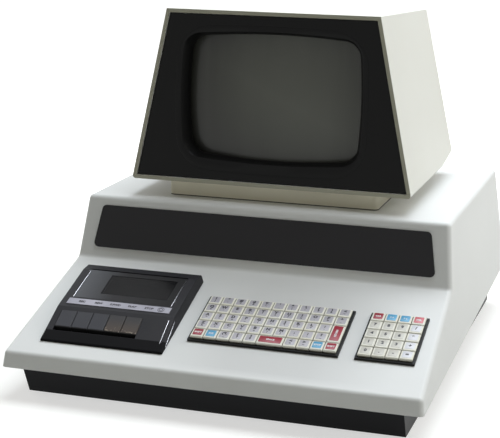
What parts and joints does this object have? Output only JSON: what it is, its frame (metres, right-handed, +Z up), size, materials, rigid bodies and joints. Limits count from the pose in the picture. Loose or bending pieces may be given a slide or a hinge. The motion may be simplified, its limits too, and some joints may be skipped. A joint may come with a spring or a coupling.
{
  "type": "home computer",
  "caption": "Vintage all-in-one home computer: steel case hinged on a tray, built-in monitor on a neck, chiclet keyboard, numeric keypad and cassette deck.",
  "frame": {"origin": "on the floor, below the middle of the machine's width and depth", "axes": "X to the right seen from the front, +Y to the back, +Z up; the keyboard faces -Y"},
  "size_m": [0.419, 0.478, 0.365],
  "materials": {
    "case_cream": "satin enamel",
    "tray_black": "satin enamel",
    "bezel_black": "satin",
    "badge_black": "satin anodised",
    "tube_glass": "polished",
    "unit_charcoal": "fine grained",
    "window_smoke": "clear smoked",
    "strip_silver": "brushed",
    "key_cream": "satin",
    "key_red": "satin",
    "key_blue": "satin",
    "key_charcoal": "worn satin",
    "frame_black": "satin",
    "board_green": "solder masked laminate",
    "plated_steel": "zinc plated",
    "rubber_black": "matte",
    "switch_black": "satin",
    "core_iron": "varnished laminations",
    "can_aluminium": "drawn",
    "sink_black": "black anodised",
    "yoke_copper": "varnished windings"
  },
  "bodies": {
    "tray": {"base_pan": "tray_black", "rubber_feet": "rubber_black", "main_board": "board_green", "power_transformer": "core_iron", "filter_capacitor": "can_aluminium", "heat_sink": "sink_black", "power_switch": "switch_black", "fuse_holder": "switch_black", "mains_gland": "switch_black", "base_hinge_leaves": "plated_steel"},
    "bonnet": {"upper_case": "case_cream", "badge_panel": "badge_black", "case_hinge_leaves": "plated_steel", "keyboard_frame": "frame_black", "numpad_frame": "frame_black", "keyboard_board": "board_green", "cassette_housing": "unit_charcoal", "label_strip": "strip_silver", "cassette_chassis": "plated_steel", "cassette_motor": "plated_steel", "drive_belt": "rubber_black", "monitor_neck": "case_cream", "monitor_housing": "case_cream", "monitor_bezel": "bezel_black", "picture_tube": "tube_glass", "deflection_yoke": "yoke_copper", "monitor_board": "board_green", "rear_cover": "tray_black"},
    "stay_rod": {"prop_rod": "plated_steel"},
    "rocker": {"switch_rocker": "switch_black"},
    "lid": {"cassette_lid": "unit_charcoal", "lid_window": "window_smoke"},
    "supply_reel": {"supply_spindle": "key_charcoal"},
    "takeup_reel": {"takeup_spindle": "key_charcoal"},
    "flywheel": {"capstan_flywheel": "plated_steel"},
    "roller": {"pinch_roller": "rubber_black"},
    "pulley": {"motor_pulley": "plated_steel"},
    "knob": {"brightness_knob": "switch_black"},
    "keycaps_row_1_caps": {"keycaps_row_1": "key_cream"},
    "keycaps_row_2_caps": {"keycaps_row_2": "key_cream"},
    "keycaps_row_3_caps": {"keycaps_row_3": "key_cream"},
    "keycaps_row_4_caps": {"keycaps_row_4": "key_cream"},
    "keycaps_row_5_caps": {"keycaps_row_5": "key_cream"},
    "numpad_row_1_caps": {"numpad_row_1": "key_cream"},
    "numpad_row_2_caps": {"numpad_row_2": "key_cream"},
    "numpad_row_3_caps": {"numpad_row_3": "key_cream"},
    "numpad_row_4_caps": {"numpad_row_4": "key_cream"},
    "numpad_row_5_caps": {"numpad_row_5": "key_cream"},
    "return_key_cap": {"return_key": "key_red"},
    "space_key_cap": {"space_key": "key_red"},
    "shift_key_left_cap": {"shift_key_left": "key_red"},
    "shift_key_right_cap": {"shift_key_right": "key_red"},
    "blue_key_left_cap": {"blue_key_left": "key_blue"},
    "blue_key_right_cap": {"blue_key_right": "key_blue"},
    "record_key_lever": {"record_key": "key_charcoal"},
    "rewind_key_lever": {"rewind_key": "key_charcoal"},
    "forward_key_lever": {"forward_key": "key_charcoal"},
    "play_key_lever": {"play_key": "key_charcoal"},
    "stop_key_lever": {"stop_key": "key_charcoal"}
  },
  "joints": [
    {"name": "bonnet_hinge", "type": "hinge", "parent": "tray", "child": "bonnet", "pos_m": [0, 0.235, 0.046], "axis": [-1, 0, 0], "range_deg": [0, 45]},
    {"name": "stay_rod_swing", "type": "hinge", "parent": "tray", "child": "stay_rod", "pos_m": [-0.18, -0.15, 0.038], "axis": [1, 0, 0], "range_deg": [0, 63.2]},
    {"name": "power_rocker", "type": "hinge", "parent": "tray", "child": "rocker", "pos_m": [-0.074, 0.226, 0.0175], "axis": [-1, 0, 0], "range_deg": [0, 24]},
    {"name": "keycaps_row_1_press", "type": "slide", "parent": "bonnet", "child": "keycaps_row_1_caps", "axis": [0, 0.3371, -0.9415], "range_m": [0, 0.0026], "stiffness_N_per_m": 400, "springref_m": -0.002},
    {"name": "keycaps_row_2_press", "type": "slide", "parent": "bonnet", "child": "keycaps_row_2_caps", "axis": [0, 0.3371, -0.9415], "range_m": [0, 0.0026], "stiffness_N_per_m": 400, "springref_m": -0.002},
    {"name": "keycaps_row_3_press", "type": "slide", "parent": "bonnet", "child": "keycaps_row_3_caps", "axis": [0, 0.3371, -0.9415], "range_m": [0, 0.0026], "stiffness_N_per_m": 400, "springref_m": -0.002},
    {"name": "keycaps_row_4_press", "type": "slide", "parent": "bonnet", "child": "keycaps_row_4_caps", "axis": [0, 0.3371, -0.9415], "range_m": [0, 0.0026], "stiffness_N_per_m": 400, "springref_m": -0.002},
    {"name": "keycaps_row_5_press", "type": "slide", "parent": "bonnet", "child": "keycaps_row_5_caps", "axis": [0, 0.3371, -0.9415], "range_m": [0, 0.0026], "stiffness_N_per_m": 400, "springref_m": -0.002},
    {"name": "numpad_row_1_press", "type": "slide", "parent": "bonnet", "child": "numpad_row_1_caps", "axis": [0, 0.3371, -0.9415], "range_m": [0, 0.0026], "stiffness_N_per_m": 400, "springref_m": -0.002},
    {"name": "numpad_row_2_press", "type": "slide", "parent": "bonnet", "child": "numpad_row_2_caps", "axis": [0, 0.3371, -0.9415], "range_m": [0, 0.0026], "stiffness_N_per_m": 400, "springref_m": -0.002},
    {"name": "numpad_row_3_press", "type": "slide", "parent": "bonnet", "child": "numpad_row_3_caps", "axis": [0, 0.3371, -0.9415], "range_m": [0, 0.0026], "stiffness_N_per_m": 400, "springref_m": -0.002},
    {"name": "numpad_row_4_press", "type": "slide", "parent": "bonnet", "child": "numpad_row_4_caps", "axis": [0, 0.3371, -0.9415], "range_m": [0, 0.0026], "stiffness_N_per_m": 400, "springref_m": -0.002},
    {"name": "numpad_row_5_press", "type": "slide", "parent": "bonnet", "child": "numpad_row_5_caps", "axis": [0, 0.3371, -0.9415], "range_m": [0, 0.0026], "stiffness_N_per_m": 400, "springref_m": -0.002},
    {"name": "return_key_press", "type": "slide", "parent": "bonnet", "child": "return_key_cap", "axis": [0, 0.3371, -0.9415], "range_m": [0, 0.0026], "stiffness_N_per_m": 120, "springref_m": -0.002},
    {"name": "space_key_press", "type": "slide", "parent": "bonnet", "child": "space_key_cap", "axis": [0, 0.3371, -0.9415], "range_m": [0, 0.0026], "stiffness_N_per_m": 120, "springref_m": -0.002},
    {"name": "shift_key_left_press", "type": "slide", "parent": "bonnet", "child": "shift_key_left_cap", "axis": [0, 0.3371, -0.9415], "range_m": [0, 0.0026], "stiffness_N_per_m": 120, "springref_m": -0.002},
    {"name": "shift_key_right_press", "type": "slide", "parent": "bonnet", "child": "shift_key_right_cap", "axis": [0, 0.3371, -0.9415], "range_m": [0, 0.0026], "stiffness_N_per_m": 120, "springref_m": -0.002},
    {"name": "blue_key_left_press", "type": "slide", "parent": "bonnet", "child": "blue_key_left_cap", "axis": [0, 0.3371, -0.9415], "range_m": [0, 0.0026], "stiffness_N_per_m": 120, "springref_m": -0.002},
    {"name": "blue_key_right_press", "type": "slide", "parent": "bonnet", "child": "blue_key_right_cap", "axis": [0, 0.3371, -0.9415], "range_m": [0, 0.0026], "stiffness_N_per_m": 120, "springref_m": -0.002},
    {"name": "lid_hinge", "type": "hinge", "parent": "bonnet", "child": "lid", "pos_m": [-0.114, -0.11984, 0.09865], "axis": [-1, 0, 0], "range_deg": [0, 55]},
    {"name": "record_key_press", "type": "hinge", "parent": "bonnet", "child": "record_key_lever", "pos_m": [-0.114, -0.16999, 0.05892], "axis": [1, 0, 0], "range_deg": [0, 9], "stiffness_Nm_per_rad": 0.08, "springref_deg": -17.19},
    {"name": "rewind_key_press", "type": "hinge", "parent": "bonnet", "child": "rewind_key_lever", "pos_m": [-0.114, -0.16999, 0.05892], "axis": [1, 0, 0], "range_deg": [0, 9], "stiffness_Nm_per_rad": 0.08, "springref_deg": -17.19},
    {"name": "forward_key_press", "type": "hinge", "parent": "bonnet", "child": "forward_key_lever", "pos_m": [-0.114, -0.16999, 0.05892], "axis": [1, 0, 0], "range_deg": [0, 9], "stiffness_Nm_per_rad": 0.08, "springref_deg": -17.19},
    {"name": "play_key_press", "type": "hinge", "parent": "bonnet", "child": "play_key_lever", "pos_m": [-0.114, -0.16999, 0.05892], "axis": [1, 0, 0], "range_deg": [0, 9], "stiffness_Nm_per_rad": 0.08, "springref_deg": -17.19},
    {"name": "stop_key_press", "type": "hinge", "parent": "bonnet", "child": "stop_key_lever", "pos_m": [-0.114, -0.16999, 0.05892], "axis": [1, 0, 0], "range_deg": [0, 9], "stiffness_Nm_per_rad": 0.08, "springref_deg": -17.19},
    {"name": "supply_spin", "type": "hinge", "parent": "bonnet", "child": "supply_reel", "pos_m": [-0.13525, -0.14279, 0.08087], "axis": [0, -0.3371, 0.9415], "continuous": true},
    {"name": "takeup_spin", "type": "hinge", "parent": "bonnet", "child": "takeup_reel", "pos_m": [-0.09275, -0.14279, 0.08087], "axis": [0, -0.3371, 0.9415], "continuous": true},
    {"name": "flywheel_spin", "type": "hinge", "parent": "bonnet", "child": "flywheel", "pos_m": [-0.092, -0.16633, 0.07244], "axis": [0, -0.3371, 0.9415], "continuous": true},
    {"name": "roller_spin", "type": "hinge", "parent": "bonnet", "child": "roller", "pos_m": [-0.08, -0.16633, 0.07244], "axis": [0, -0.3371, 0.9415], "continuous": true},
    {"name": "pulley_spin", "type": "hinge", "parent": "bonnet", "child": "pulley", "pos_m": [-0.148, -0.13056, 0.08525], "axis": [0, -0.3371, 0.9415], "continuous": true},
    {"name": "brightness_turn", "type": "hinge", "parent": "bonnet", "child": "knob", "pos_m": [0.086, 0.17778, 0.21444], "axis": [0, 0.999, 0.0449], "range_deg": [0, 270]}
  ],
  "couplings": [
    {"joint": "stay_rod_swing", "follows": "bonnet_hinge", "ratio": 1.4044},
    {"joint": "roller_spin", "follows": "flywheel_spin", "ratio": -0.23636},
    {"joint": "pulley_spin", "follows": "flywheel_spin", "ratio": 3.6}
  ]
}
